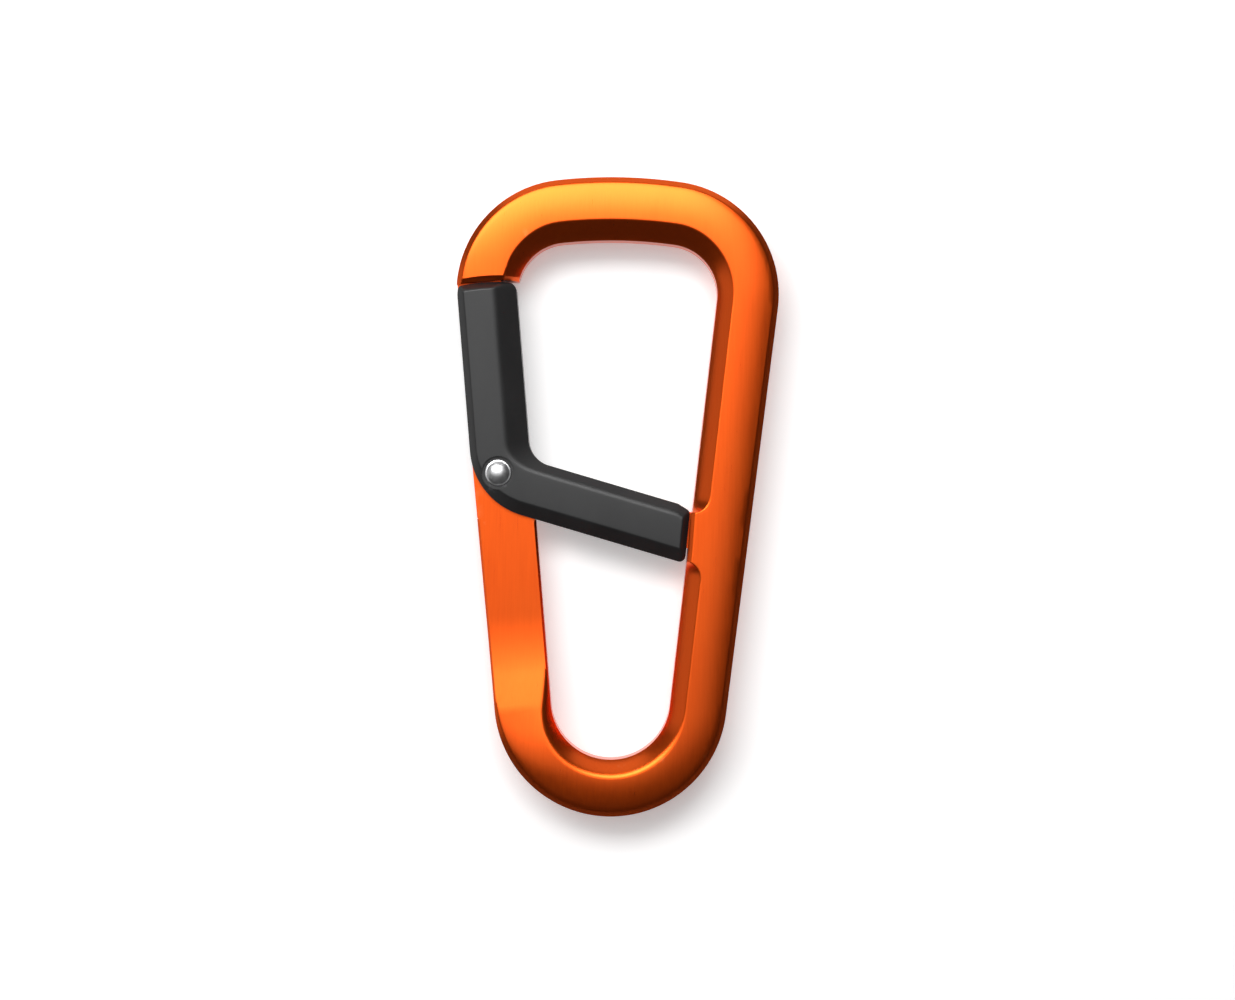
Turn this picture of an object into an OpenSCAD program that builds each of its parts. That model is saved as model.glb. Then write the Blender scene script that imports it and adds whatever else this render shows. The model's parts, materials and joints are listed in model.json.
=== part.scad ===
// Keyring carabiner: a C-shaped ring with a one-piece rocker gate.
// The part lies flat, front face up (+Z), wide end towards +Y, back face on Z = 0.

/* [Ring] */
// Overall length along Y
length = 69; // [66:0.5:72]
// Thickness of the ring
thickness = 6.4; // [6:0.1:7]
// Outer radius of the narrow end
narrow_r = 12.56; // [12:0.02:13]
// Outer radius of the two shoulders
shoulder_r = 12.2; // [11.8:0.1:12.5]
// Half the distance between the shoulder centres
shoulder_x = 5.2; // [5:0.1:5.5]
// Outer radius of the wide end
crown_r = 52.5; // [48:0.5:60]
// Bar depth at the wide end
top_bar = 6.8; // [6.5:0.1:7.2]
// Bar depth at the narrow end
bottom_bar = 6.1; // [5.9:0.1:6.3]
// Inner radius of the two shoulders
inner_shoulder_r = 5.4; // [5.2:0.1:5.6]
// Half the distance between the inner shoulder centres
inner_shoulder_x = 5.4; // [5.2:0.1:5.6]
// Inner radius of the wide end
inner_crown_r = 50; // [46:0.5:56]
// Width of the sloping band round the inside edge
band_w = 1.8; // [1.4:0.1:2]
// Depth of that band
band_depth = 1.3; // [1:0.1:1.5]
// Chamfer along the outside edge
edge_chamfer = 0.5; // [0.3:0.1:0.7]

/* [Tang and tongues] */
// Thickness of the tang and of both tongues
tang_t = 3; // [2.8:0.1:3.2]
// Height of the full-thickness leg's ramp above the narrow end's centre
ramp_top = 6.4; // [5.5:0.1:7]
// Length of the ramp
ramp_len = 5; // [4:0.5:6]
// Radius of the tang's head about the pivot
head_r = 3.72; // [3.6:0.02:3.8]
// How far the nose tongue reaches into the gate
nose_tongue = 3; // [2.5:0.1:3.3]

/* [Gate] */
// Distance of the pivot to the left of the middle
pivot_x = 12.54; // [12.4:0.02:12.7]
// Height of the pivot above the narrow end's centre
pivot_h = 24.32; // [24:0.02:24.6]
// Thickness of the gate
gate_t = 6.2; // [6:0.1:6.4]
// Lean of the upper arm to the left, degrees
arm_lean = 5.6; // [5.4:0.1:5.8]
// Fall of the lower arm to the right, degrees
arm_fall = 15.5; // [15.3:0.1:15.7]
// Upper arm, from the pivot to its outer side
arm_out = 2.86; // [2.8:0.02:2.96]
// Upper arm, from the pivot to its inner side
arm_in = 3.53; // [3.5:0.01:3.6]
// Lower arm, from the pivot line to its top side
arm_over = 2.32; // [2.2:0.02:2.4]
// Lower arm, from the pivot line to its bottom side
arm_under = 3.67; // [3.6:0.02:3.7]
// Radius of the upper arm's end about the pivot
gate_r = 20.6; // [20.4:0.1:20.8]
// Radius of the outside corner
heel_r = 7.8; // [7.4:0.1:8]
// Radius of the inside corner
crook_r = 3; // [2.8:0.1:3.2]
// Width of the chamfer round the gate's faces
gate_chamfer = 1.1; // [0.8:0.1:1.3]
// Width of the slots that take the tang and tongues
slot_w = 3.3; // [3.2:0.05:3.4]
// Opening angle of the gate, degrees
open_angle = 40; // [30:1:40]

/* [Rivet, plunger and spring] */
// Diameter of the rivet's shank
rivet_d = 2; // [1.8:0.1:2.2]
// Diameter of the rivet's heads
rivet_head_d = 2.9; // [2.8:0.1:3]
// Height of the rivet's domed heads
rivet_head_h = 0.5; // [0.4:0.05:0.5]
// Diameter of the recess round each head
recess_d = 3.6; // [3.4:0.1:3.8]
// Offset of the plunger from the pivot, which is its travel per radian
plunger_offset = 1.2; // [1.1:0.05:1.3]
// Distance from the plunger's tip to the pivot line when closed
plunger_reach = 2.6; // [2.5:0.05:2.7]
// Diameter of the plunger
plunger_d = 2.5; // [2.4:0.05:2.5]
// Length of the plunger without its spigot
plunger_len = 3.4; // [3:0.1:3.8]
// Top of the spring bore above the pivot line
bore_top = 13.5; // [12:0.5:14.5]
// Diameter of the spring bore
bore_d = 2.6; // [2.55:0.05:2.7]
// Outer diameter of the spring
spring_d = 2.3; // [2.2:0.05:2.4]
// Diameter of the spring's wire
wire_d = 0.4; // [0.35:0.05:0.4]
// Turns of the spring
turns = 9; // [7:1:10]

/* [Hidden] */
$fn = 96;
orange = "#e8641e";
black = "#2b2b2d";
steel = "#c9cacc";
spring_steel = "#9a9c9f";

mid = thickness / 2;            // middle plane of every piece
proud = 0.002;                  // round corners cross straight sides cleanly
far = 60;                       // longer than any piece
overrun = 4;                    // the ring's straight cutters carry on this far past a corner
gate_overrun = 3;               // and the gate's this far
gap = 0.3;                      // running gap between gate and ring
narrow_y = narrow_r - length / 2;
face_inset = (thickness - gate_t) / 2;
pivot = [-pivot_x, narrow_y + pivot_h];

// An outline is [narrow radius, its y, shoulder radius, its x, its y, crown radius, its y]
function outline(nr, sr, sx, cr, top) =
    [nr, narrow_y, sr, sx, top - cr + sqrt(pow(cr - sr, 2) - sx * sx), cr, top - cr];
OUTER = outline(narrow_r, shoulder_r, shoulder_x, crown_r, length / 2);
INNER = outline(narrow_r - bottom_bar, inner_shoulder_r, inner_shoulder_x,
                inner_crown_r, length / 2 - top_bar);

// Direction square to the right side, and direction of the shoulder from the crown's centre
function side_angle(o) =
    atan2(o[4] - o[1], o[3]) - acos((o[0] - o[2]) / norm([o[3], o[4] - o[1]]));
function crown_angle(o) = atan2(o[4] - o[6], o[3]);
function polar(r, a) = [r * cos(a), r * sin(a)];
function flip(p) = [-p[0], p[1]];
function side_low(o) = [0, o[1]] + polar(o[0], side_angle(o));
function side_high(o) = [o[3], o[4]] + polar(o[2], side_angle(o));
function crown_end(o) = [0, o[6]] + polar(o[5], crown_angle(o));

// A profile drawn in x (outwards) and z, swept round an arc or along a straight side
module round_sweep(centre, r, from, to) {
    translate([centre[0], centre[1], 0])
        rotate_extrude(start = from, angle = to - from) translate([r, 0]) children();
}
module straight_sweep(from, to) {
    run = to - from;
    translate([to[0], to[1], 0]) rotate(atan2(run[1], run[0]) - 90) rotate([90, 0, 0])
        linear_extrude(norm(run)) children();
}
module both_sides() {
    children();
    translate([0, 0, thickness]) mirror([0, 0, 1]) children();
}

module outline_2d(o) {
    polygon([side_low(o), side_high(o), crown_end(o), flip(crown_end(o)),
             flip(side_high(o)), flip(side_low(o))]);
    translate([0, o[1]]) circle(o[0] + proud);
    for (side = [-1, 1]) translate([side * o[3], o[4]]) circle(o[2] + proud);
    intersection() {
        translate([0, o[6]]) circle(o[5], $fn = 360);
        translate([-crown_end(o)[0], o[4]]) square([2 * crown_end(o)[0], far]);
    }
}

// Corner cutter for both faces: it removes a triangle w wide and d deep at the edge x = 0
module bevel(w, d, low = 0, high = thickness) {
    polygon([[-w, low], [-w, low - 1], [1, low - 1], [1, low + d], [0, low + d]]);
    polygon([[-w, high], [0, high - d], [1, high - d], [1, high + 1], [-w, high + 1]]);
}

module ring_edge_cutter() {
    s = side_angle(OUTER);
    c = crown_angle(OUTER);
    past = polar(overrun, s + 90);
    round_sweep([0, OUTER[1]], OUTER[0] + proud, 180 - s, 360 + s)
        bevel(edge_chamfer, edge_chamfer);
    round_sweep([OUTER[3], OUTER[4]], OUTER[2] + proud, s, c) bevel(edge_chamfer, edge_chamfer);
    round_sweep([-OUTER[3], OUTER[4]], OUTER[2] + proud, 180 - c, 180 - s)
        bevel(edge_chamfer, edge_chamfer);
    lap = 3;
    round_sweep([0, OUTER[6]], OUTER[5], c - lap, 180 + lap - c)
        bevel(edge_chamfer, edge_chamfer);
    straight_sweep(side_low(OUTER) - past, side_high(OUTER) + past)
        bevel(edge_chamfer, edge_chamfer);
    straight_sweep(flip(side_high(OUTER) + past), flip(side_low(OUTER) - past))
        bevel(edge_chamfer, edge_chamfer);
}

// Section of the opening's edge: a wall with a sloping band at each face
module band_section(reach) {
    polygon([[-reach, -1], [band_w + band_w / band_depth, -1], [0, band_depth],
             [0, thickness - band_depth], [band_w + band_w / band_depth, thickness + 1],
             [-reach, thickness + 1]]);
}
module opening() {
    s = side_angle(INNER);
    c = crown_angle(INNER);
    reach = 3;
    translate([0, 0, -1]) linear_extrude(thickness + 2) outline_2d(INNER);
    translate([0, INNER[1], 0])
        rotate_extrude() translate([INNER[0] + proud, 0]) band_section(reach);
    for (side = [-1, 1]) translate([side * INNER[3], INNER[4], 0])
        rotate_extrude() translate([INNER[2] + proud, 0]) band_section(reach);
    round_sweep([0, INNER[6]], INNER[5], c, 180 - c) band_section(reach);
    straight_sweep(side_low(INNER), side_high(INNER)) band_section(reach);
    straight_sweep(flip(side_high(INNER)), flip(side_low(INNER))) band_section(reach);
}

// Gate frames: x and y along and across each arm, with the pivot at the origin
module at_arm() { translate([pivot[0], pivot[1], 0]) rotate(arm_lean) children(); }
module at_lower_arm() { translate([pivot[0], pivot[1], 0]) rotate(-arm_fall) children(); }
function from_arm(p) = pivot + [p[0] * cos(arm_lean) - p[1] * sin(arm_lean),
                                p[0] * sin(arm_lean) + p[1] * cos(arm_lean)];
function from_lower(p) = pivot + [p[0] * cos(arm_fall) + p[1] * sin(arm_fall),
                                  p[1] * cos(arm_fall) - p[0] * sin(arm_fall)];
// Meeting of a line square to the upper arm with one along the lower arm
turn = arm_lean + arm_fall;
function meet(u, y) = from_lower([(u - y * sin(turn)) / cos(turn), y]);
heel = meet(heel_r - arm_out, heel_r - arm_under);
crook = meet(crook_r + arm_in, crook_r + arm_over);

end_top = 20.93;                // lower arm's end at its upper side, along the arm
end_bottom = 21.9;              // and at its lower side
corner_cut = 0.8;               // chamfer at the corners of both arms' ends
gate_chamfer_depth = 0.8;
crook_ease = 0.03;              // the chamfer is this much wider round the inside corner

// Nose and latch: a flat tongue on the ring in a slot of each arm's end
nose_bridge = 1.6;              // wall of the upper arm that closes its slot on the inside
nose_root = gate_r - nose_tongue - 0.7;
latch_x = 19.7;                 // bottom of the latch slot, along the lower arm
latch_bridge = 1.45;            // wall of the lower arm that closes its slot from below
boss_low = narrow_y + 15.2;
boss_high = narrow_y + 20.3;
boss_face = [[8.32, boss_high], [8.14, boss_low]];
boss_depth = 3.5;               // the boss runs this far back into the ring's side
boss_edge = 0.4;

// Rivet recess and the plunger's spigot
recess_depth = 0.45;
spigot_d = 1.3;
spigot_len = 1.2;

// Cam on the tang's head: an involute of the plunger's offset, so that the travel is even
function cam(t) = plunger_offset * [cos(t), -sin(t)]
    + (plunger_reach + plunger_offset * t * PI / 180) * [sin(t), cos(t)];
cam_lead = 15;                  // the cam starts this far before the closed position
cam_tail = 50;
neck_drop = 4.6;                // the head's neck is this far below the pivot, along the side
inner_side = side_angle(INNER);
// The neck is where the tang's inside edge leaves the ring's wall for the round head
neck = let (n = [-cos(inner_side), sin(inner_side)], low = flip(side_low(INNER)),
            off = (low - pivot) * n)
    pivot + off * n + neck_drop * [-n[1], n[0]];

module tang_2d() {
    at_arm() intersection() {
        circle(head_r);
        polygon(concat([for (t = [-cam_lead:5:cam_tail]) cam(t)],
                       [[head_r + 1, -head_r - 1], [-head_r - 1, -head_r - 1],
                        [-head_r - 1, 2], [-arm_out + 0.4, 2.3]]));
    }
    polygon([pivot, neck, flip(side_low(INNER)), [pivot[0], narrow_y],
             pivot + [-6, -2]]);
}
module nose_tongue_2d() {
    translate(pivot) rotate(arm_lean) intersection() {
        difference() {
            circle(gate_r + 2, $fn = 360);
            circle(gate_r - nose_tongue, $fn = 360);
        }
        translate([-5, 0]) square([5 + arm_in - nose_bridge, gate_r + 2]);
    }
}
// Slanted end face of both cutters that thin the leg down to the tang
module leg_thinner() {
    top = mid + tang_t / 2;
    slope = (thickness - top) / ramp_len;
    run = ramp_len + 0.5;
    left_only = far / 2 + 7;
    translate([-left_only, narrow_y + ramp_top, 0]) rotate([90, 0, 90]) linear_extrude(far / 2)
        polygon([[0, top], [pivot_h - ramp_top, top], [pivot_h - ramp_top, thickness + 1],
                 [-run, thickness + 1], [-run, top + slope * run]]);
}
// Room for the gate's upper arm: it ends the ring in an arc about the pivot and at the neck
module nose_arc() {
    left_only = far - 2;
    intersection() {
        translate([pivot[0], pivot[1], -1]) cylinder(r = gate_r + gap, h = far, $fn = 360);
        translate([-far, neck[1] - 0.5, -1]) cube([left_only, far, far]);
    }
}
// Boss that meets the lower arm's end, with the latch tongue
module boss() {
    rise = boss_face[0] - boss_face[1];
    lean = atan2(rise[1], rise[0]) - 90;
    spare = 1;
    height = boss_high - boss_low;
    intersection() {
        translate([boss_face[1][0], boss_low, 0]) rotate(lean)
            translate([0, height + spare, 0]) rotate([90, 0, 0]) linear_extrude(height + 2 * spare)
            polygon([[boss_edge, 0], [boss_depth, 0], [boss_depth, thickness],
                     [boss_edge, thickness], [0, thickness - boss_edge], [0, boss_edge]]);
        translate([0, boss_low, -1]) cube([far, height, far]);
    }
    tip = latch_x + gap;
    low = latch_bridge - arm_under + 0.2;
    high = arm_over - 0.5;
    at_lower_arm() translate([0, 0, mid - tang_t / 2]) linear_extrude(tang_t)
        polygon([[tip, low], [tip, high - 0.5], [tip + 0.5, high], [tip + 2.7, high],
                 [tip + 2.7, low]]);
}

module frame() {
    color(orange) difference() {
        union() {
            difference() {
                linear_extrude(thickness) outline_2d(OUTER);
                ring_edge_cutter();
                opening();
                both_sides() leg_thinner();
                nose_arc();
            }
            intersection() {
                translate([0, 0, mid - tang_t / 2]) linear_extrude(tang_t) difference() {
                    union() {
                        intersection() {
                            tang_2d();
                            translate([-far, narrow_y + ramp_top + 1]) square([far, far]);
                        }
                        intersection() {
                            nose_tongue_2d();
                            difference() {
                                translate([-far, pivot[1]]) square([far, far]);
                                outline_2d(INNER);
                            }
                        }
                    }
                }
                linear_extrude(thickness) outline_2d(OUTER);
            }
            boss();
        }
        translate([pivot[0], pivot[1], -1]) cylinder(d = rivet_d + 0.1, h = far);
    }
}

// Turning points of the gate's outline, counter-clockwise from the top of its outer side
out_x = -[cos(arm_lean), sin(arm_lean)];
out_y = -[sin(arm_fall), cos(arm_fall)];
arm_top = from_arm([-arm_out, gate_r + 2]);
heel_side = heel + heel_r * out_x;
heel_under = heel + heel_r * out_y;
tip_low = from_lower([end_bottom, -arm_under]);
tip_high = from_lower([end_top, arm_over]);
crook_low = crook + crook_r * out_y;
crook_side = crook + crook_r * out_x;
arm_top_in = from_arm([arm_in, gate_r + 2]);
corner = meet(-arm_out, -arm_under);

// The point past the end of a line, where its cutter stops
function beyond(from, to) = to + gate_overrun * (to - from) / norm(to - from);

module gate_2d() {
    difference() {
        polygon([arm_top, corner, tip_low, tip_high, crook_low, crook, crook_side,
                 arm_top_in]);
        difference() {
            polygon([heel_side, heel_side + 2 * out_x, corner + 3 * out_x + 3 * out_y,
                     heel_under + 2 * out_y, heel_under]);
            translate(heel) circle(heel_r + proud);
        }
        translate(crook) circle(crook_r + proud);
        at_arm() difference() {
            translate([-far / 2, gate_r - 4]) square([far, far]);
            circle(gate_r, $fn = 360);
        }
        at_arm() polygon([[arm_in - corner_cut, gate_r + 1], [arm_in - corner_cut, gate_r - 0.1],
                          [arm_in, gate_r - 1], [far, gate_r - 1], [far, gate_r + 1]]);
        at_lower_arm() polygon([[latch_x, arm_over], [end_top + 0.1, arm_over - corner_cut / 2],
                                [far, arm_over - corner_cut / 2], [far, far]]);
        at_lower_arm() polygon([[end_bottom - corner_cut, -arm_under],
                                [end_bottom - 0.1, -arm_under + corner_cut],
                                [far, -arm_under + corner_cut], [far, -far]]);
    }
}
module gate_bevel() {
    bevel(gate_chamfer, gate_chamfer_depth, face_inset, thickness - face_inset);
}
module gate_edge_cutter() {
    straight_sweep(arm_top, beyond(arm_top, heel_side)) gate_bevel();
    round_sweep(heel, heel_r + proud, 180 + arm_lean, 270 - arm_fall) gate_bevel();
    straight_sweep(beyond(tip_low, heel_under), beyond(heel_under, tip_low)) gate_bevel();
    straight_sweep(beyond(tip_high, tip_low), beyond(tip_low, tip_high)) gate_bevel();
    straight_sweep(beyond(crook_low, tip_high), crook_low) gate_bevel();
    both_sides() translate([crook[0], crook[1], face_inset - gate_chamfer_depth])
        cylinder(r1 = crook_r + 2 * gate_chamfer + crook_ease, r2 = crook_r + crook_ease,
                 h = 2 * gate_chamfer_depth);
    straight_sweep(crook_side, arm_top_in) gate_bevel();
    round_sweep(pivot, gate_r, 75 + arm_lean, 105 + arm_lean) gate_bevel();
}

// Slot that takes the tang: it stays clear of the tang as the gate swings
slot_gap = 0.18;
edge_way = -90 - inner_side + open_angle;
edge_off = (neck - pivot) * [cos(inner_side), -sin(inner_side)];
slot_corner = pivot + edge_neck(neck_drop - slot_gap, edge_off + gap);
function edge_neck(along, across) =
    [along * cos(edge_way) - across * sin(edge_way),
     along * sin(edge_way) + across * cos(edge_way)];
neck_top = atan2(edge_neck(neck_drop, edge_off)[1], edge_neck(neck_drop, edge_off)[0]);
module hinge_slot_2d() {
    translate(pivot) circle(head_r + slot_gap);
    intersection() {
        translate(pivot) circle(norm(neck - pivot) + slot_gap);
        polygon([pivot, pivot + polar(far, neck_top + 3), pivot + polar(far, neck_top - 50),
                 pivot + polar(far, neck_top - 100)]);
    }
    polygon([from_arm([0, head_r + slot_gap - 0.05]), from_arm([-arm_out - 2, 4.6]),
             pivot + [-far, 0], pivot + [-far, -far], slot_corner + edge_neck(far, 0),
             slot_corner, pivot]);
}
module nose_slot_2d() {
    at_arm() difference() {
        translate([-far, nose_root - 2]) square([far + arm_in - nose_bridge + 0.06, far]);
        circle(nose_root, $fn = 360);
    }
}
module latch_slot_2d() {
    at_lower_arm() translate([latch_x, latch_bridge - arm_under]) square([far, far]);
}
module gate() {
    color(black) difference() {
        translate([0, 0, face_inset]) linear_extrude(gate_t) gate_2d();
        gate_edge_cutter();
        translate([0, 0, mid - slot_w / 2]) linear_extrude(slot_w) {
            hinge_slot_2d();
            nose_slot_2d();
            latch_slot_2d();
        }
        translate([pivot[0], pivot[1], -1]) cylinder(d = rivet_d + 0.04, h = far);
        both_sides() translate([pivot[0], pivot[1], face_inset - 1])
            cylinder(d = recess_d, h = recess_depth + 1);
        at_arm() translate([plunger_offset, 2, mid]) rotate([-90, 0, 0])
            cylinder(d = bore_d, h = bore_top - 2);
    }
}

module pivot_rivet() {
    seat = face_inset + recess_depth;
    head_r2 = rivet_head_d / 2;
    dome = (head_r2 * head_r2 + rivet_head_h * rivet_head_h) / (2 * rivet_head_h);
    color(steel) translate([pivot[0], pivot[1], 0]) {
        translate([0, 0, seat]) cylinder(d = rivet_d, h = thickness - 2 * seat);
        both_sides() rotate_extrude() intersection() {
            translate([0, seat - rivet_head_h + dome]) circle(dome);
            translate([0, seat - rivet_head_h]) square([far, rivet_head_h]);
        }
    }
}

tip = plunger_reach + 0.02;
module at_plunger() {
    at_arm() translate([plunger_offset, tip, mid]) rotate([-90, 0, 0]) children();
}
module plunger() {
    dome = 1.4;
    color(steel) at_plunger() rotate_extrude() {
        intersection() {
            translate([0, dome]) circle(dome);
            square([plunger_d / 2, dome + 0.1]);
        }
        translate([0, dome]) square([plunger_d / 2, plunger_len - dome]);
        translate([0, dome]) square([spigot_d / 2, plunger_len + spigot_len - dome]);
    }
}

// The spring is a tube swept along a helix whose first and last turns are closed
spring_len = bore_top - tip - plunger_len - 0.04;
steps = 20;
ring_sides = 8;
coil_r = (spring_d - wire_d) / 2;
closed = 1.02 * wire_d;
pitch = (spring_len - wire_d - 2 * closed) / (turns - 2);
function coil_z(n) = wire_d / 2 + closed * min(n, 1)
    + pitch * min(max(n - 1, 0), turns - 2) + closed * max(n - turns + 1, 0);
function coil_point(i, j) =
    let (n = i / steps, a = 360 * n, b = 360 * j / ring_sides,
         r = coil_r + wire_d / 2 * cos(b))
    [r * cos(a), r * sin(a), coil_z(n) + wire_d / 2 * sin(b)];
module spring() {
    rings = turns * steps;
    points = [for (i = [0:rings]) for (j = [0:ring_sides - 1]) coil_point(i, j)];
    walls = [for (i = [0:rings - 1]) for (j = [0:ring_sides - 1])
        [i * ring_sides + j, i * ring_sides + (j + 1) % ring_sides,
         (i + 1) * ring_sides + (j + 1) % ring_sides, (i + 1) * ring_sides + j]];
    first = [for (j = [ring_sides - 1:-1:0]) j];
    last = [for (j = [0:ring_sides - 1]) rings * ring_sides + j];
    color(spring_steel) at_plunger() translate([0, 0, plunger_len + 0.02])
        polyhedron(points, concat(walls, [first, last]));
}

frame();
gate();
pivot_rivet();
plunger();
spring();
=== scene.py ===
import json
import math

import bmesh
import bpy
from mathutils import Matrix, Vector


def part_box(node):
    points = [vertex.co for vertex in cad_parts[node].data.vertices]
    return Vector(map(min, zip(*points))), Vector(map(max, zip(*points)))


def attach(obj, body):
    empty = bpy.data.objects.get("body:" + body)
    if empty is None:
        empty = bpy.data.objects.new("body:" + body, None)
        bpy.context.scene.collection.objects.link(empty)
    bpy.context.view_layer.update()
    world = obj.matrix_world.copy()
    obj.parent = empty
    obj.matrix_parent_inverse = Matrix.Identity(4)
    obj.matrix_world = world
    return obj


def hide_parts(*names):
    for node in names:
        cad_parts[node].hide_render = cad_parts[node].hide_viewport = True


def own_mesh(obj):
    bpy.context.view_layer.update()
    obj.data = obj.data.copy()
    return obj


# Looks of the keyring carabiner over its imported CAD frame. Shapes are worked out in
# millimetres and stored in metres. +Z is the front face, +Y the wide end.
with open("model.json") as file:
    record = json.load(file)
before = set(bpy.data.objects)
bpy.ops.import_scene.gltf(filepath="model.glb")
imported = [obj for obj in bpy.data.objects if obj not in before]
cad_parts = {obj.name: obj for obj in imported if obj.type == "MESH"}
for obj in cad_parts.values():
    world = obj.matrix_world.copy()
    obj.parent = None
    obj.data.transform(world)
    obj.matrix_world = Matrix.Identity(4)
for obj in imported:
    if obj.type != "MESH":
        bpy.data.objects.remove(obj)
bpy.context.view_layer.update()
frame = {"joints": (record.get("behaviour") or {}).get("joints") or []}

MM = 0.001
JOINTS = {joint["name"]: joint for joint in frame["joints"]}
RING_LOW, RING_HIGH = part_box("frame")
GATE_LOW, GATE_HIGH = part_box("gate")
HALF_LENGTH = (RING_HIGH[1] - RING_LOW[1]) / 2 / MM
THICKNESS = (RING_HIGH[2] - RING_LOW[2]) / MM
GATE_THICKNESS = (GATE_HIGH[2] - GATE_LOW[2]) / MM
MIDDLE = THICKNESS / 2

# Ring: radii of the outside and the opening, and its two bars
NARROW_R = 12.56
SHOULDER_R, SHOULDER_X, CROWN_R = 12.2, 5.2, 52.5
TOP_BAR, BOTTOM_BAR = 6.8, 6.1
INNER_SHOULDER_R, INNER_SHOULDER_X, INNER_CROWN_R = 5.4, 5.4, 50.0
NARROW_Y = NARROW_R - HALF_LENGTH
PIVOT = Vector((-12.54, NARROW_Y + 24.32))

# Ring: its section
BAND_SIDE, BAND_TOP, BAND_DEPTH = 1.7, 2.2, 1.4
EDGE_W, EDGE_D = 0.55, 0.32
CROWN_DROP = 0.5
TANG_T, TANG_EDGE, NOSE_EDGE = 3.0, 0.25, 0.5
RAMP_LOW, RAMP_HIGH = NARROW_Y - 4.5, NARROW_Y + 6
RAMP_ROUND, RAMP_SOFT = 0.3, 0.25
BOSS_LOW, BOSS_HIGH = NARROW_Y + 15.2, NARROW_Y + 20.3
BOSS_EDGE, BOSS_FILLET, BOSS_PROUD = 0.45, 2.0, 0.18
HEAD_R, NECK_DROP = 3.72, 4.6
CAM_START, CAM_END = -15, 43
NOSE_TONGUE, NOSE_BRIDGE = 3.0, 1.6

# Gate: its two arms about the pivot, and its section
ARM_LEAN, ARM_FALL = math.radians(5.6), math.radians(15.5)
ARM_OUT, ARM_IN, ARM_OVER, ARM_UNDER = 2.86, 3.53, 2.32, 3.67
GATE_R, NOSE_GAP, RUN_GAP = 20.6, 0.18, 0.3
HEEL_R, CROOK_R = 7.8, 3.0
END_X, END_TILT, CORNER = 21.39, -0.19, 0.8
SLOT_W, SLOT_GAP, LATCH_X, LATCH_BRIDGE = 3.3, 0.18, 19.7, 1.45
OPEN_ANGLE = math.radians(JOINTS["gate_pivot"]["range_deg"][1])
ARM_EDGE_OUT, ARM_EDGE_IN = (0.75, 0.7), (2.45, 1.1)
LOW_EDGE_OUT, LOW_EDGE_IN = (1.4, 1.0), (1.07, 0.75)

# Rivet, plunger and spring
RIVET_D, RIVET_HEAD_D, RIVET_HEAD_H = 2.0, 2.9, 0.5
RECESS_D, RECESS_DEPTH = 3.6, 0.45
PLUNGER_OFFSET, PLUNGER_REACH = 1.2, 2.6
PLUNGER_D, PLUNGER_LEN, SPIGOT_D, SPIGOT_LEN = 2.5, 3.4, 1.3, 1.2
BORE_TOP, BORE_D = 13.5, 2.6
SPRING_D, WIRE_D, TURNS = 2.3, 0.4, 9
PLAY, RIVET_PLAY = 0.02, 0.05

# Edges sharper than this stay sharp, in degrees
BODY_SHARP = 38


# ------------------------------------------------------------------ plane geometry

def polar(radius, angle):
    return Vector((radius * math.cos(angle), radius * math.sin(angle)))


def mix(a, b, f):
    return a + (b - a) * f


def ease(value, low, high):
    """0 below low, 1 above high, smooth between."""
    f = min(max((value - low) / (high - low), 0), 1)
    return f * f * (3 - 2 * f)


def soft_min(a, b, width):
    """The smaller of a and b, rounded over where they are within width of each other."""
    h = max(width - abs(a - b), 0) / width
    return min(a, b) - h * h * width / 4


def smooth_ramp(f):
    """0 below 0, then rising evenly past 1, with a rounded start."""
    return -soft_min(0, -f, RAMP_ROUND)


def spaced(start, *runs):
    """Values from start on, through (value, steps to it) for each run."""
    values = [start]
    for value, steps in runs:
        last = values[-1]
        values += [mix(last, value, (i + 1) / steps) for i in range(steps)]
    return values


def flip(point):
    return Vector((-point.x, point.y))


def from_arm(u, w):
    """Point u across and w along the gate's upper arm, from the pivot."""
    return PIVOT + Vector((u * math.cos(ARM_LEAN) - w * math.sin(ARM_LEAN),
                           u * math.sin(ARM_LEAN) + w * math.cos(ARM_LEAN)))


def from_lower(x, y):
    """Point x along and y across the gate's lower arm, from the pivot."""
    return PIVOT + Vector((x * math.cos(ARM_FALL) + y * math.sin(ARM_FALL),
                           y * math.cos(ARM_FALL) - x * math.sin(ARM_FALL)))


def arc(centre, radius, low, high, steps):
    return [centre + polar(radius, mix(low, high, i / steps)) for i in range(steps + 1)]


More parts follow.
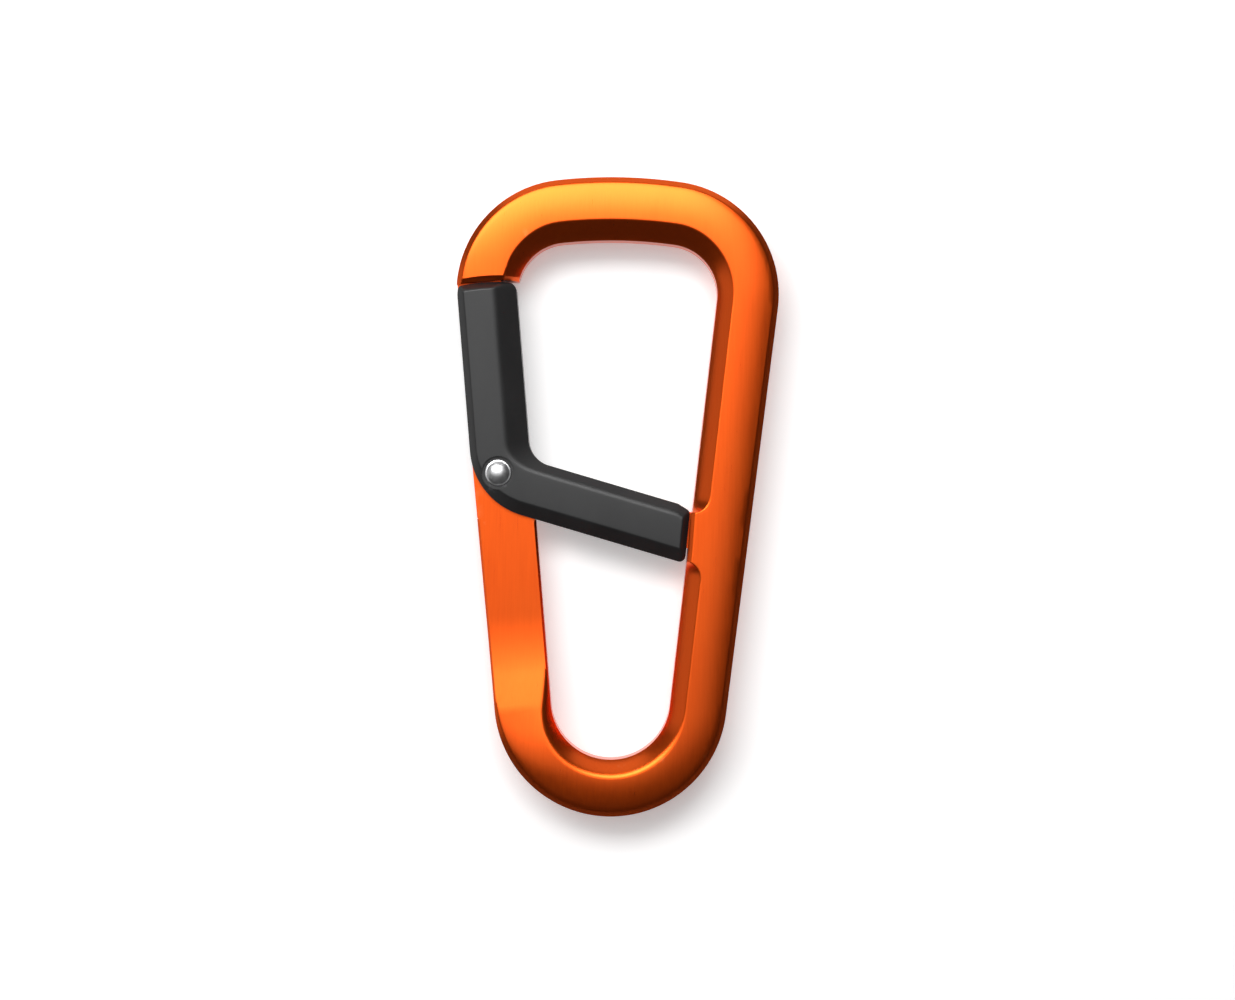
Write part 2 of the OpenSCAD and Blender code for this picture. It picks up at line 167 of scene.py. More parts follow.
class Outline:
    """A narrow end, two sides, two shoulders and a shallow crown, tangent to each other."""

    def __init__(self, narrow_r, shoulder_r, shoulder_x, crown_r, top):
        rise = math.sqrt((crown_r - shoulder_r) ** 2 - shoulder_x ** 2)
        self.narrow, self.narrow_r = Vector((0, NARROW_Y)), narrow_r
        self.crown, self.crown_r = Vector((0, top - crown_r)), crown_r
        self.shoulder, self.shoulder_r = Vector((shoulder_x, top - crown_r + rise)), shoulder_r
        span, reach = self.shoulder - self.narrow, self.shoulder - self.crown
        self.side = math.atan2(span.y, span.x) - math.acos((narrow_r - shoulder_r) / span.length)
        self.turn = math.atan2(reach.y, reach.x)
        self.side_high = self.shoulder + polar(shoulder_r, self.side)
        self.side_low = self.narrow + polar(narrow_r, self.side)

    def at(self, piece, f):
        """Point on the right half: 0 crown, 1 shoulder, 2 side, 3 narrow end, from the top round."""
        if piece == 0:
            return self.crown + polar(self.crown_r, mix(math.pi / 2, self.turn, f))
        if piece == 1:
            return self.shoulder + polar(self.shoulder_r, mix(self.turn, self.side, f))
        if piece == 2:
            return self.side_high.lerp(self.side_low, f)
        return self.narrow + polar(self.narrow_r, mix(self.side, -math.pi / 2, f))

    def side_at(self, y):
        """Point on the right side at the height y."""
        return self.side_high.lerp(self.side_low,
                                   (self.side_high.y - y) / (self.side_high.y - self.side_low.y))

    def left_shoulder_at(self, reach):
        """How far round the left shoulder the outline is reach from the pivot."""
        low, high = 0.0, 1.0
        for _ in range(40):
            f = (low + high) / 2
            far = (flip(self.at(1, f)) - PIVOT).length > reach
            low, high = (f, high) if far else (low, f)
        return low


OUTER = Outline(NARROW_R, SHOULDER_R, SHOULDER_X, CROWN_R, HALF_LENGTH)
INNER = Outline(NARROW_R - BOTTOM_BAR, INNER_SHOULDER_R, INNER_SHOULDER_X, INNER_CROWN_R,
                HALF_LENGTH - TOP_BAR)


# ------------------------------------------------------------------ mesh building

def loft(name, rings, ends=True):
    """A mesh through rings of as many points each, capped at both ends."""
    mesh = bmesh.new()
    rows = [[mesh.verts.new(Vector(point) * MM) for point in ring] for ring in rings]
    for a, b in zip(rows, rows[1:]):
        for j in range(len(a)):
            k = (j + 1) % len(a)
            mesh.faces.new((a[j], a[k], b[k], b[j]))
    if ends:
        mesh.faces.new(rows[0][::-1])
        mesh.faces.new(rows[-1])
    bmesh.ops.remove_doubles(mesh, verts=mesh.verts, dist=1e-8)
    bmesh.ops.recalc_face_normals(mesh, faces=mesh.faces)
    data = bpy.data.meshes.new(name)
    mesh.to_mesh(data)
    mesh.free()
    piece = bpy.data.objects.new(name, data)
    bpy.context.scene.collection.objects.link(piece)
    return piece


def plate(name, outline, low, high):
    """A flat plate of the outline, from low to high in Z."""
    return loft(name, [[(p[0], p[1], z) for p in outline] for z in (low, high)])


def lathe(name, profile, base, axis, sides):
    """A turned piece: profile is (radius, height) from base along axis."""
    axis = axis.normalized()
    across = axis.orthogonal().normalized()
    other = axis.cross(across)
    turns = [math.tau * i / sides for i in range(sides)]
    return loft(name, [[base + axis * h + (across * math.cos(a) + other * math.sin(a)) * r
                        for a in turns] for r, h in profile], ends=False)


def settle(piece):
    """Makes the piece's modifiers part of its mesh."""
    bpy.context.view_layer.update()
    shaped = piece.evaluated_get(bpy.context.evaluated_depsgraph_get())
    data = bpy.data.meshes.new_from_object(shaped)
    piece.modifiers.clear()
    piece.data = data


def combine(piece, operation, *tools):
    """piece with each tool added or cut away; the tools are used up."""
    for tool in tools:
        change = piece.modifiers.new("combine", "BOOLEAN")
        change.object, change.operation, change.solver = tool, operation, "EXACT"
        settle(piece)
        bpy.data.objects.remove(tool)


def finish_shading(piece, degrees):
    """Smooth shading that follows the large faces, with edges over degrees left sharp."""
    piece.data.polygons.foreach_set("use_smooth", [True] * len(piece.data.polygons))
    piece.data.set_sharp_from_angle(angle=math.radians(degrees))
    weigh = piece.modifiers.new("weigh", "WEIGHTED_NORMAL")
    weigh.keep_sharp, weigh.weight = True, 80
    settle(piece)


def place(piece, body, node, slot, material):
    """Gives piece its material and its moving body, and hides the CAD node it stands for; slot is
    not used.
    """
    piece.data.materials.clear()
    piece.data.materials.append(material)
    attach(piece, body)
    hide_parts(node)


# ------------------------------------------------------------------ frame

def band_width(point, right):
    """Width of the sloping band inside the ring, which stops either side of the latch boss."""
    rise = (point.y - INNER.shoulder.y) / INNER_SHOULDER_R
    wide = mix(BAND_SIDE, BAND_TOP, min(max(rise, 0), 1) ** 2)
    away = max(BOSS_LOW - point.y, point.y - BOSS_HIGH)
    if not right or away >= BOSS_FILLET:
        return wide
    back = BOSS_FILLET - max(away, 0)
    return max(wide - BOSS_FILLET + math.sqrt(BOSS_FILLET ** 2 - back ** 2), BOSS_EDGE)


def ring_height(t, width, band, soft):
    """Half thickness of the full section, t out from the opening's wall."""
    depth = BAND_DEPTH * min(band / BAND_SIDE, 1)
    inward = (band - t) / band
    slope = depth * 0.85 / band
    face = THICKNESS / 2 - CROWN_DROP * (max(t - BAND_SIDE, 0) / (width - BAND_SIDE)) ** 2
    wall = THICKNESS / 2 - slope * (band - t) - depth * 0.15 * max(inward, 0) ** 4
    rim = THICKNESS / 2 - CROWN_DROP - EDGE_D + (width - t) * (EDGE_D / EDGE_W + 0.15)
    return soft_min(soft_min(wall, face, slope * soft), rim, 0.1)


def ring_section(inner, outer, left, from_nose):
    """One section of the ring between a point of the opening and one of the outside. On the left,
    below the pivot, a ramp brings its thickness down to the tang's."""
    right = not left and inner.x > 0
    across = outer - inner
    width = across.length
    across.normalize()
    band = band_width(inner, right)
    soft = mix(0.15, 0.42, ease(NARROW_Y - inner.y, 0, 5))
    soft = min(soft, band / 2)
    lift = THICKNESS
    if left and inner.y < PIVOT.y:
        ramp = (inner.y - RAMP_LOW) / (RAMP_HIGH - RAMP_LOW)
        lift = TANG_T / 2 + (THICKNESS - TANG_T) / 2 * smooth_ramp(1 - ramp)
    places = spaced(0, (TANG_EDGE, 2), (band - soft, 8), (band + soft, 10),
                    (width - EDGE_W - 0.12, 8), (width - EDGE_W + 0.12, 5),
                    (width - TANG_EDGE, 1), (width, 2))
    front = []
    for t in places:
        edge = max(TANG_EDGE - min(t, width - t), 0)
        half = soft_min(ring_height(t, width, band, soft), lift - edge, RAMP_SOFT)
        half -= NOSE_EDGE * max(1 - from_nose / NOSE_EDGE, 0)
        p = inner + across * t
        if right:
            shift = BOSS_PROUD * ease(inner.y, BOSS_LOW, BOSS_HIGH)
            shift *= 1 - ease(inner.y, BOSS_HIGH, BOSS_HIGH + 0.25)
            p -= across * shift * max(1 - t / BAND_SIDE, 0)
        if from_nose < 6:
            ends = mix((inner - PIVOT).length, (outer - PIVOT).length, t / width)
            bend = 1 - ease(from_nose, 1.5, 6)
            p = PIVOT + (p - PIVOT) * mix(1, ends / (p - PIVOT).length, bend)
        front.append((p.x, p.y, half))
    return ([(x, y, MIDDLE + half) for x, y, half in front]
            + [(x, y, MIDDLE - half) for x, y, half in reversed(front)])


def ring_sections():
    """Sections from the nose over the crown, down the right side and up to the tang."""
    sections = []

    def add(inner, outer, left, from_nose=math.inf):
        sections.append(ring_section(inner, outer, left, from_nose))

    reach = GATE_R + NOSE_GAP
    near = spaced(0, (NOSE_EDGE, 4), (NOSE_EDGE + 0.1, 2), (1.5, 3))
    for d in near:
        add(*(flip(line.at(1, line.left_shoulder_at(reach + d))) for line in (INNER, OUTER)),
            True, d)
    last = [line.left_shoulder_at(reach + near[-1]) for line in (INNER, OUTER)]
    for i in range(1, 21):
        inner, outer = (flip(line.at(1, mix(f, 0, i / 20))) for line, f in zip((INNER, OUTER), last))
        add(inner, outer, True, ((inner + outer) / 2 - PIVOT).length - reach)
    for i in range(1, 17):
        f = abs(1 - i / 8)
        inner, outer = INNER.at(0, f), OUTER.at(0, f)
        if i < 8:
            inner, outer = flip(inner), flip(outer)
        add(inner, outer, i < 8)
    for i in range(1, 27):
        add(INNER.at(1, i / 26), OUTER.at(1, i / 26), False)
    for f in side_fractions():
        add(INNER.at(2, f), OUTER.at(2, f), False)
    for i in range(1, 33):
        add(INNER.at(3, i / 32), OUTER.at(3, i / 32), False)
    for i in range(31, -1, -1):
        add(flip(INNER.at(3, i / 32)), flip(OUTER.at(3, i / 32)), True)
    leg_top = PIVOT.y - NECK_DROP - 0.4
    for i in range(1, 51):
        y = mix(INNER.side_low.y, leg_top, i / 50)
        y_out = mix(OUTER.side_low.y, leg_top, i / 50)
        add(flip(INNER.side_at(y)), flip(OUTER.side_at(y_out)), True)
    return sections


def side_fractions():
    """Stations down the right side, close together round the boss."""
    high, low = INNER.side_high.y, INNER.side_low.y
    even = [i / 36 for i in range(1, 37)]
    aways = (-0.3, -0.1, 0, 0.03, 0.07, 0.12, 0.2, 0.3, 0.45, 0.65, 0.9, 1.2, 1.6, 2.0)
    close = [(high - y) / (high - low) for away in aways
             for y in (BOSS_LOW - away, BOSS_HIGH + away)]
    clear = [f for f in even if min(abs(f - g) for g in close) > 0.004]
    return sorted(clear + close)


def cam(turn):
    """Point of the tang's cam: an involute of the plunger's offset."""
    reach = PLUNGER_REACH + PLUNGER_OFFSET * turn
    return from_arm(PLUNGER_OFFSET * math.cos(turn) + reach * math.sin(turn),
                    reach * math.cos(turn) - PLUNGER_OFFSET * math.sin(turn))


def angle_of(point):
    return math.atan2(point.y - PIVOT.y, point.x - PIVOT.x)


def tang_head():
    """Outline of the tang's head: cam on top, round at the opening, straight outside."""
    top = [cam(math.radians(a)) for a in range(CAM_START, CAM_END + 1, 2)]
    neck = flip(INNER.side_at(PIVOT.y - NECK_DROP))
    rim = arc(PIVOT, HEAD_R, angle_of(top[-1]), angle_of(neck), 18)
    low = PIVOT.y - NECK_DROP - 1.4
    inset = Vector((0.5, 0))
    outside = [flip(OUTER.side_at(y)) for y in (low, PIVOT.y + 1.9)]
    return (top + rim + [neck, flip(INNER.side_at(low)) - inset, outside[0] + inset,
                         outside[0] + inset + Vector((0, 0.6)),
                         flip(OUTER.side_at(low + 1.1)) + Vector((0.02, 0)),
                         outside[1] + Vector((0.02, 0)),
                         outside[1] + Vector((0.4, 0.35))])


def nose_tongue():
    """Outline of the tongue that reaches from the nose into the gate."""
    tip, root = GATE_R - NOSE_TONGUE, GATE_R + NOSE_GAP + 0.3
    low, high, corner = -ARM_OUT + 0.08, ARM_IN - NOSE_BRIDGE, 1.3

    def lift(u, r):
        return from_arm(u, math.sqrt(r * r - u * u))

    outer_corner = [lift(low + corner * (1 - math.cos(a)), tip + corner * (1 - math.sin(a)))
                    for a in [math.radians(10 * i) for i in range(10)]]
    end = [lift(mix(low + corner, high, i / 6), tip) for i in range(1, 7)]
    return [lift(low, root)] + outer_corner + end + [lift(high, root)]


def latch_tongue():
    low, high, tip = LATCH_BRIDGE - ARM_UNDER + 0.2, ARM_OVER - 0.5, LATCH_X + 0.3
    return [from_lower(tip, low), from_lower(tip + 2.7, low), from_lower(tip + 2.7, high),
            from_lower(tip + 0.5, high), from_lower(tip, high - 0.5)]


def make_frame(material):
    ring = loft("ring_frame", ring_sections())
    layer = (MIDDLE - TANG_T / 2, MIDDLE + TANG_T / 2)
    combine(ring, "UNION", plate("head", tang_head(), *layer),
            plate("nose_tongue", nose_tongue(), *layer),
            plate("latch_tongue", latch_tongue(), *layer))
    bore = arc(PIVOT, RIVET_D / 2 + RIVET_PLAY, 0, math.tau, 48)[:-1]
    combine(ring, "DIFFERENCE", plate("bore", bore, -1, THICKNESS + 1))
    finish_shading(ring, BODY_SHARP)
    place(ring, "ring", "frame", "orange_anodised", material)


# ------------------------------------------------------------------ gate

def meet(u, y):
    """Where the line u across the upper arm meets the line y across the lower arm."""
    turn = ARM_LEAN + ARM_FALL
    return from_lower((u - y * math.sin(turn)) / math.cos(turn), y)


HEEL = meet(HEEL_R - ARM_OUT, HEEL_R - ARM_UNDER)
CROOK = meet(CROOK_R + ARM_IN, CROOK_R + ARM_OVER)


def corner_draw(d, length, depth):
    """How far a side is drawn in, d before an end whose round corner is length by depth."""
    back = max(1 - d / length, 0)
    return depth * (1 - math.sqrt(1 - back ** 2))


def gate_section(outer, inner, lower, d, bend=0):
    """One section of the gate; lower is 0 on the upper arm and 1 on the lower one, d is the end's
    distance, and bend is how far the section follows the arc about the pivot."""
    across = inner - outer
    width = across.length
    out_w, out_d = (mix(a, b, lower) for a, b in zip(ARM_EDGE_OUT, LOW_EDGE_OUT))
    in_w, in_d = (mix(a, b, lower) for a, b in zip(ARM_EDGE_IN, LOW_EDGE_IN))
    soft, wide_soft = 0.14, 0.4
    places = spaced(0, (out_w - soft, 3), (out_w + soft, 6), (width - in_w - wide_soft, 8),
                    (width - in_w + wide_soft, 10), (width, 5))
    front = []
    for t in places:
        crown = 0.05 * (2 * t / width - 1) ** 2
        face = GATE_THICKNESS / 2 - crown
        half = soft_min(face, GATE_THICKNESS / 2 - (out_w - t) * out_d / out_w, 0.1)
        rest = in_w - (width - t)
        half = soft_min(half, GATE_THICKNESS / 2 - rest * in_d / in_w, wide_soft * in_d / in_w)
        half = soft_min(half, GATE_THICKNESS / 2 - 0.75 + d * 1.05, 0.12)
        p = outer + across * (t / width)
        ends = mix((outer - PIVOT).length, (inner - PIVOT).length, t / width)
        p = PIVOT + (p - PIVOT) * mix(1, ends / (p - PIVOT).length, bend)
        front.append((p.x, p.y, half))
    return ([(x, y, MIDDLE + half) for x, y, half in front]
            + [(x, y, MIDDLE - half) for x, y, half in reversed(front)])


END_STEPS = spaced(0, (0.12, 2), (0.6, 5), (0.9, 5), (1.4, 2))


def arm_end(d):
    """Section of the upper arm d before its end, which is an arc about the pivot."""
    r = GATE_R - d
    out_u, in_u = -ARM_OUT + corner_draw(d, 1.2, 0.35), ARM_IN - corner_draw(d, CORNER, CORNER)
    outer, inner = (from_arm(u, math.sqrt(r * r - u * u)) for u in (out_u, in_u))
    return gate_section(outer, inner, 0, d, 1)


def lower_end(d):
    """Section of the lower arm d before its slanted end."""
    out_y = -ARM_UNDER + corner_draw(d, CORNER, CORNER)
    in_y = ARM_OVER - corner_draw(d, 0.4, 0.3) - 0.4 * max(1 - d / END_STEPS[-1], 0)
    outer, inner = (from_lower(END_X - d + END_TILT * y, y) for y in (out_y, in_y))
    return gate_section(outer, inner, 1, d)


def along_arm(point):
    return (point - PIVOT).dot(Vector((-math.sin(ARM_LEAN), math.cos(ARM_LEAN))))


def along_lower(point):
    return (point - PIVOT).dot(Vector((math.cos(ARM_FALL), -math.sin(ARM_FALL))))


def gate_sections():
    sections = [arm_end(d) for d in END_STEPS]
    r = GATE_R - END_STEPS[-1]
    high_out, high_in = (math.sqrt(r * r - u * u) for u in (ARM_OUT, ARM_IN))
    for i in range(1, 25):
        f = i / 24
        outer = from_arm(-ARM_OUT, mix(high_out, along_arm(HEEL), f))
        inner = from_arm(ARM_IN, mix(high_in, along_arm(CROOK), f))
        sections.append(gate_section(outer, inner, 0, math.inf, max(1 - 3 * f, 0)))
    sweep = math.pi / 2 - ARM_LEAN - ARM_FALL
    for i in range(1, 33):
        angle = math.pi + ARM_LEAN + sweep * i / 32
        sections.append(gate_section(HEEL + polar(HEEL_R, angle), CROOK + polar(CROOK_R, angle),
                                     ease(i, 0, 32), math.inf))
    stop_out, stop_in = (END_X - END_STEPS[-1] + END_TILT * y for y in (-ARM_UNDER, ARM_OVER))
    for i in range(1, 21):
        outer = from_lower(mix(along_lower(HEEL), stop_out, i / 20), -ARM_UNDER)
        inner = from_lower(mix(along_lower(CROOK), stop_in, i / 20), ARM_OVER)
        sections.append(gate_section(outer, inner, 1, math.inf))
    return sections + [lower_end(d) for d in END_STEPS[-2::-1]]


def hinge_slot():
    """Outlines of the slot's three parts: round the head, the neck's sweep, and open outside."""
    side_way = -math.pi / 2 - INNER.side + OPEN_ANGLE
    normal = Vector((math.cos(INNER.side), -math.sin(INNER.side)))
    neck = flip(INNER.side_at(PIVOT.y - NECK_DROP * math.cos(INNER.side)))
    off = (neck - PIVOT).dot(normal)

    def beside(along, across):
        return Vector((along * math.cos(side_way) - across * math.sin(side_way),
                       along * math.sin(side_way) + across * math.cos(side_way)))

    corner = beside(NECK_DROP - SLOT_GAP, off + RUN_GAP)
    start = math.atan2(*reversed(beside(NECK_DROP, off)))
    reach = 40
    head = arc(PIVOT, HEAD_R + SLOT_GAP, 0, math.tau, 72)[:-1]
    sweep = [PIVOT] + arc(PIVOT, (neck - PIVOT).length + SLOT_GAP, start - math.radians(100),
                          start + math.radians(3), 40)
    outside = [from_arm(0, HEAD_R + SLOT_GAP - 0.05), from_arm(-ARM_OUT - 2, 4.6),
               PIVOT + Vector((-reach, 0)), PIVOT + Vector((-reach, -reach)),
               PIVOT + corner + beside(reach, 0), PIVOT + corner, PIVOT]
    return head, sweep, outside


def nose_slot():
    root = GATE_R - NOSE_TONGUE - 0.7
    high = ARM_IN - NOSE_BRIDGE + 0.06
    bottom = [from_arm(u, math.sqrt(root * root - u * u))
              for u in spaced(high, (-ARM_OUT - 2, 12))]
    return bottom + [from_arm(-ARM_OUT - 2, GATE_R + 3), from_arm(high, GATE_R + 3)]


def latch_slot():
    low = LATCH_BRIDGE - ARM_UNDER
    return [from_lower(x, y) for x, y in ((LATCH_X, low), (LATCH_X + 5, low),
                                          (LATCH_X + 5, 6), (LATCH_X, 6))]


def make_gate(material):
    gate = loft("rocker_gate", gate_sections())
    layer = (MIDDLE - SLOT_W / 2, MIDDLE + SLOT_W / 2)
    outlines = (*hinge_slot(), nose_slot(), latch_slot())
    combine(gate, "DIFFERENCE", *(plate("slot", outline, *layer) for outline in outlines))
    up = Vector((0, 0, 1))
    pivot = Vector((*PIVOT, 0))
    inset = (THICKNESS - GATE_THICKNESS) / 2
    for low, high, d in ((-1, THICKNESS + 1, RIVET_D + 0.04), (-1, inset + RECESS_DEPTH, RECESS_D),
                         (THICKNESS - inset - RECESS_DEPTH, THICKNESS + 1, RECESS_D)):
        bore = [(0, low), (d / 2, low), (d / 2, high), (0, high)]
        combine(gate, "DIFFERENCE", lathe("bore", bore, pivot, up, 64))
    bore = [(0, 2), (BORE_D / 2, 2), (BORE_D / 2, BORE_TOP), (0, BORE_TOP)]
    combine(gate, "DIFFERENCE", lathe("bore", bore, plunger_base(0), ARM_WAY, 48))
    finish_shading(gate, BODY_SHARP)
    place(gate, "gate", "gate", "black_anodised", material)


# ------------------------------------------------------------------ small parts

ARM_WAY = Vector((-math.sin(ARM_LEAN), math.cos(ARM_LEAN), 0))


def plunger_base(height):
    return Vector((*from_arm(PLUNGER_OFFSET, height), MIDDLE))


def make_rivet(material):
    seat = (THICKNESS - GATE_THICKNESS) / 2 + RECESS_DEPTH
    r, h = RIVET_HEAD_D / 2, RIVET_HEAD_H
    flange, dome_r = 0.12, r - 0.22
    ball = (dome_r ** 2 + (h - flange) ** 2) / (2 * (h - flange))
    half_angle = math.asin(dome_r / ball)
    dome = [(ball * math.sin(a), h - ball * (1 - math.cos(a)))
            for a in [half_angle * i / 14 for i in range(15)]]
    head = dome + [(dome_r + 0.07, flange - 0.01), (r - 0.05, flange - 0.03), (r, flange - 0.08),
                   (r, 0), (RIVET_D / 2, 0)]
    front = [(radius, THICKNESS - seat + height) for radius, height in head]
    back = [(radius, seat - height) for radius, height in reversed(head)]
    rivet = lathe("pivot_rivet_head", front + back, Vector((*PIVOT, 0)), Vector((0, 0, 1)), 72)
    finish_shading(rivet, 50)
    place(rivet, "gate", "pivot_rivet", "rivet_steel", material)


def make_plunger(material):
    dome, r = 1.4, PLUNGER_D / 2
    nose = [(dome * math.sin(a), dome * (1 - math.cos(a)))
            for a in spaced(0, (math.asin(r / dome), 12))]
    profile = nose + [(r, dome), (r, PLUNGER_LEN - 0.1), (r - 0.1, PLUNGER_LEN),
                      (SPIGOT_D / 2, PLUNGER_LEN), (SPIGOT_D / 2, PLUNGER_LEN + SPIGOT_LEN - 0.1),
                      (SPIGOT_D / 2 - 0.1, PLUNGER_LEN + SPIGOT_LEN), (0, PLUNGER_LEN + SPIGOT_LEN)]
    pin = lathe("gate_plunger", profile, plunger_base(PLUNGER_REACH + PLAY), ARM_WAY, 48)
    finish_shading(pin, 40)
    place(pin, "plunger", "plunger", "plunger_steel", material)


def make_spring(material):
    start = PLUNGER_REACH + PLAY + PLUNGER_LEN + PLAY
    length = BORE_TOP - start - PLAY
    shut = 1.02 * WIRE_D
    pitch = (length - WIRE_D - 2 * shut) / (TURNS - 2)
    coil_r = (SPRING_D - WIRE_D) / 2
    side = Vector((math.cos(ARM_LEAN), math.sin(ARM_LEAN), 0))
    up = Vector((0, 0, 1))
    steps, sides = 36, 12
    rings = []
    for i in range(TURNS * steps + 1):
        n = i / steps
        height = (start + WIRE_D / 2 + shut * min(n, 1) + pitch * min(max(n - 1, 0), TURNS - 2)
                  + shut * max(n - TURNS + 1, 0))
        out = side * math.cos(math.tau * n) + up * math.sin(math.tau * n)
        centre = plunger_base(height) + out * coil_r
        rings.append([centre + (out * math.cos(b) + ARM_WAY * math.sin(b)) * WIRE_D / 2
                      for b in [math.tau * j / sides for j in range(sides)]])
    coil = loft("plunger_spring", rings)
    finish_shading(coil, 60)
    place(coil, "gate", "spring", "spring_steel", material)
    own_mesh(coil)


# ------------------------------------------------------------------ finishes

class Finish:
    """A node material on a Principled shader, with short calls for its nodes."""

    def __init__(self, name, **sockets):
        self.material = bpy.data.materials.new(name)
        self.material.use_nodes = True
        self.tree = self.material.node_tree
        self.shader = self.tree.nodes["Principled BSDF"]
        self.place = self.add("ShaderNodeTexCoord").outputs["Object"]
        for socket, value in sockets.items():
            self.shader.inputs[socket.replace("_", " ")].default_value = value

    def add(self, kind, **inputs):
        node = self.tree.nodes.new(kind)
        for name, value in inputs.items():
            self.give(node.inputs[name.replace("_", " ")], value)
        return node

    def give(self, socket, value):
        if isinstance(value, bpy.types.NodeSocket):
            self.tree.links.new(value, socket)
        else:
            socket.default_value = value

    def noise(self, scale, stretch=(1, 1, 1), detail=3.0, rough=0.55):
        """Noise of scale features a metre, stretched along each axis."""
        mapping = self.add("ShaderNodeMapping", Vector=self.place, Scale=stretch)
        return self.add("ShaderNodeTexNoise", Vector=mapping.outputs[0], Scale=scale,
                        Detail=detail, Roughness=rough).outputs["Fac"]

    def span(self, value, low, high, to_low, to_high):
        """value's range low to high, carried over to to_low to to_high."""
        node = self.add("ShaderNodeMapRange", Value=value)
        for name, number in (("From Min", low), ("From Max", high), ("To Min", to_low),
                             ("To Max", to_high)):
            node.inputs[name].default_value = number
        return node.outputs[0]

    def blend(self, factor, a, b):
        node = self.add("ShaderNodeMix")
        node.data_type = "RGBA"
        for socket, value in zip((node.inputs[0], node.inputs[6], node.inputs[7]), (factor, a, b)):
            self.give(socket, value)
        return node.outputs[2]

    def product(self, a, b):
        node = self.tree.nodes.new("ShaderNodeMath")
        node.operation = "MULTIPLY"
        self.give(node.inputs[0], a)
        self.give(node.inputs[1], b)
        return node.outputs[0]

    def edges(self, low, high):
        """0 on open faces to 1 along outward edges."""
        point = self.add("ShaderNodeNewGeometry").outputs["Pointiness"]
        return self.span(point, low, high, 0, 1)

    def bump(self, height, strength, distance):
        node = self.add("ShaderNodeBump", Height=height, Strength=strength, Distance=distance)
        self.give(self.shader.inputs["Normal"], node.outputs[0])

    def set(self, socket, value):
        self.give(self.shader.inputs[socket], value)


GRAIN = (1, 0.03, 1)


def orange_finish():
    """Dyed anodising over brushed aluminium: the brushing runs along Y."""
    finish = Finish("orange_anodised_brushed", Metallic=1.0, Coat_Weight=0.2, Coat_Roughness=0.25)
    brush = finish.noise(6000, GRAIN, 4, 0.65)
    cloud = finish.noise(160, (1, 0.6, 1), 2)
    base = finish.blend(finish.span(brush, 0.3, 0.7, 0, 1), (0.78, 0.086, 0.004, 1),
                        (0.83, 0.1, 0.006, 1))
    base = finish.blend(finish.span(cloud, 0.35, 0.7, 0, 0.35), base, (0.81, 0.11, 0.007, 1))
    # Lighter orange along outward edges, in noisy patches: partly edge wear, partly a painted
    # highlight on the creases.
    edge_wear_and_highlight = finish.product(finish.edges(0.53, 0.6),
                          finish.span(finish.noise(1400), 0.4, 0.6, 0, 0.12))
    finish.set("Base Color", finish.blend(edge_wear_and_highlight, base, (0.95, 0.36, 0.14, 1)))
    finish.set("Roughness", finish.span(brush, 0.25, 0.75, 0.27, 0.34))
    finish.bump(brush, 0.15, 0.000005)
    return finish.material


def black_finish():
    """Satin black anodising, bead-blasted, so the texture is fine and even."""
    finish = Finish("black_anodised_satin", Metallic=0.0, Specular_IOR_Level=0.5)
    blast = finish.noise(9000, detail=2)
    cloud = finish.noise(220, (1, 0.5, 1), 3)
    base = finish.blend(finish.span(cloud, 0.3, 0.7, 0, 1), (0.012, 0.012, 0.0125, 1),
                        (0.017, 0.017, 0.0175, 1))
    # Lighter grey along outward edges, in noisy patches: partly edge wear, partly a painted
    # highlight on the creases.
    edge_wear_and_highlight = finish.product(finish.edges(0.54, 0.62),
                          finish.span(finish.noise(1800), 0.45, 0.65, 0, 0.6))
    finish.set("Base Color", finish.blend(edge_wear_and_highlight, base, (0.09, 0.09, 0.095, 1)))
    finish.set("Roughness", finish.span(blast, 0.3, 0.7, 0.34, 0.44))
    finish.bump(blast, 0.3, 0.00001)
    return finish.material


def steel_finish(name, colour, low, high, scale, stretch):
    """Bare steel, with fine marks of scale features a metre stretched the way it was worked."""
    finish = Finish(name, Metallic=1.0)
    marks = finish.noise(scale, stretch, 3)
    dark = tuple(0.82 * c for c in colour[:3]) + (1,)
    finish.set("Base Color", finish.blend(finish.span(marks, 0.35, 0.65, 0, 1), dark, colour))
    finish.set("Roughness", finish.span(marks, 0.3, 0.7, low, high))
    finish.bump(marks, 0.1, 0.000003)
    return finish.material


def floor_finish():
    finish = Finish("pale_floor", Roughness=0.9, Specular_IOR_Level=0.1,
                    Emission_Color=(1, 1, 1, 1), Emission_Strength=0.34)
    tone = finish.span(finish.noise(30, detail=2), 0.3, 0.7, 0, 1)
    finish.set("Base Color", finish.blend(tone, (0.86, 0.86, 0.86, 1), (0.88, 0.88, 0.88, 1)))
    return finish.material


# ------------------------------------------------------------------ stage

def make_floor():
    floor = loft("floor", [[(x, y, z) for x, y in ((-3000, -3000), (3000, -3000), (3000, 3000),
                                                   (-3000, 3000))] for z in (-20, -0.02)])
    floor.data.materials.append(floor_finish())


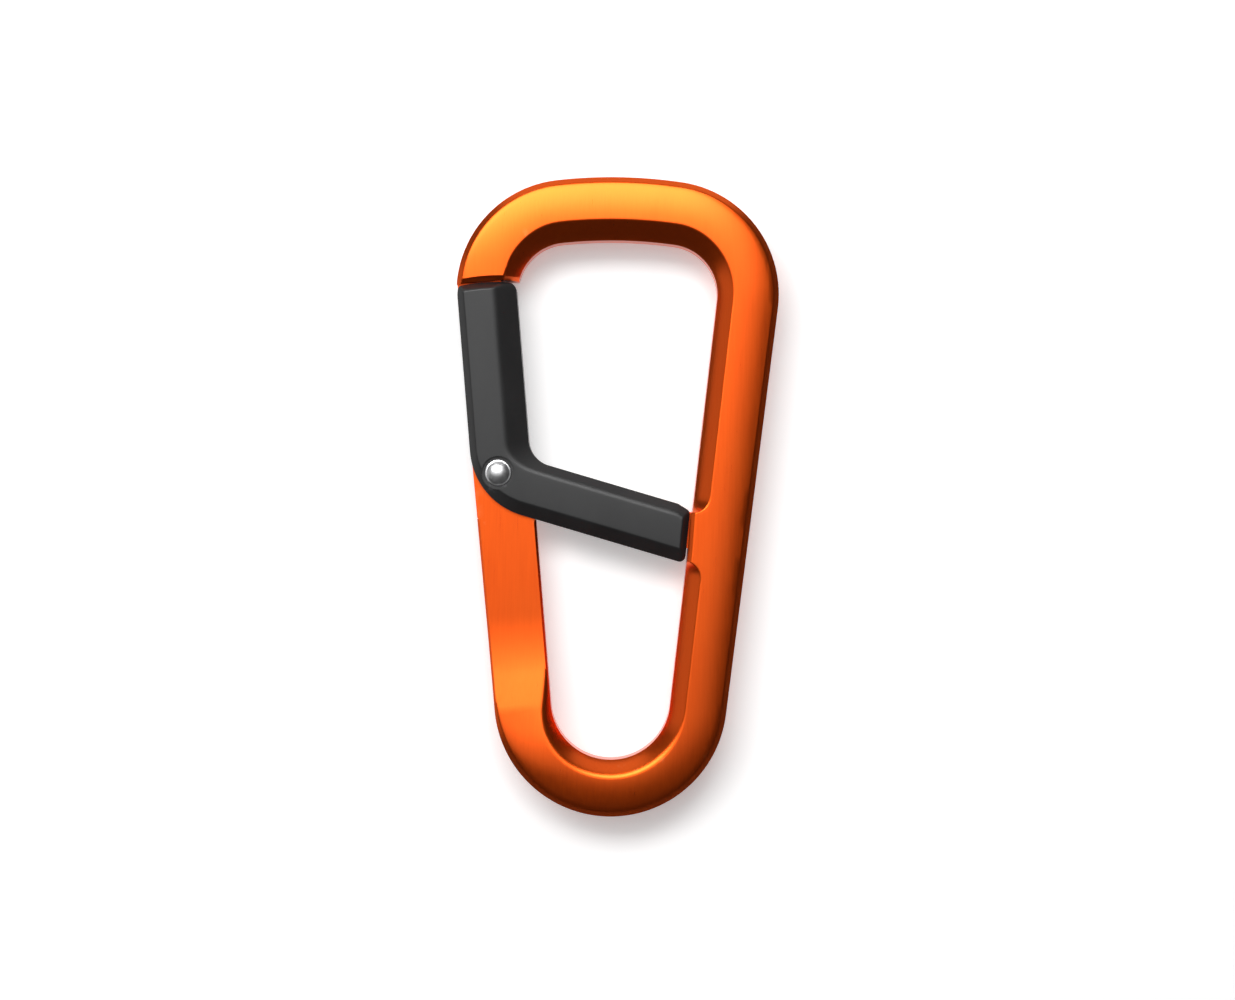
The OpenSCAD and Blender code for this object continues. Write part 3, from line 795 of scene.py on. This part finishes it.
def make_light(name, place, aim, width, height, power):
    data = bpy.data.lights.new(name, "AREA")
    data.shape, data.size, data.size_y = "RECTANGLE", width, height
    data.energy = power
    light = bpy.data.objects.new(name, data)
    light.location = place
    light.rotation_euler = (Vector(aim) - Vector(place)).to_track_quat("-Z", "Y").to_euler()
    light.visible_camera = False
    bpy.context.scene.collection.objects.link(light)


def make_lights():
    """A ceiling that grows brighter towards the wide end, and cards that fill in from two sides."""
    make_light("ceiling", (-0.12, 0.15, 0.5), (-0.12, 0.15, 0), 0.54, 0.5, 0.74)
    make_light("softbox_wide", (-0.12, 0.24, 0.51), (-0.12, 0.24, 0), 0.56, 0.36, 0.85)
    make_light("softbox", (-0.14, 0.3, 0.52), (-0.14, 0.3, 0), 0.5, 0.25, 2.5)
    make_light("end_card", (0, 0.8, 0.25), (0, 0, 0), 1.2, 0.4, 1.3)
    make_light("side_card", (-0.8, 0, 0.3), (0, 0, 0), 0.6, 0.4, 0.45)
    world = bpy.data.worlds.new("studio")
    world.use_nodes = True
    background = world.node_tree.nodes["Background"]
    background.inputs["Color"].default_value = (1, 1, 1, 1)
    background.inputs["Strength"].default_value = 0.06
    bpy.context.scene.world = world


def make_camera():
    """Straight above the object, turned a degree, as far off as a 100 mm lens needs."""
    view_width, lens, sensor = 134.1, 100.0, 36.0
    data = bpy.data.cameras.new("camera")
    data.lens, data.sensor_width = lens, sensor
    camera = bpy.data.objects.new("camera", data)
    camera.location = Vector((0.38, -0.33, MIDDLE + view_width * lens / sensor)) * MM
    camera.rotation_euler = (0, 0, math.radians(1))
    bpy.context.scene.collection.objects.link(camera)
    bpy.context.scene.camera = camera


make_camera()
make_frame(orange_finish())
make_gate(black_finish())
make_rivet(steel_finish("rivet_steel_turned", (0.72, 0.72, 0.73, 1), 0.3, 0.38, 2000, (1, 1, 1)))
make_plunger(steel_finish("plunger_steel_ground", (0.66, 0.66, 0.68, 1), 0.18, 0.3, 4000,
                          (1, 1, 0.1)))
make_spring(steel_finish("spring_steel_drawn", (0.5, 0.5, 0.52, 1), 0.25, 0.38, 5000, (1, 1, 1)))
make_floor()
make_lights()
bpy.context.scene.view_settings.view_transform = "Standard"
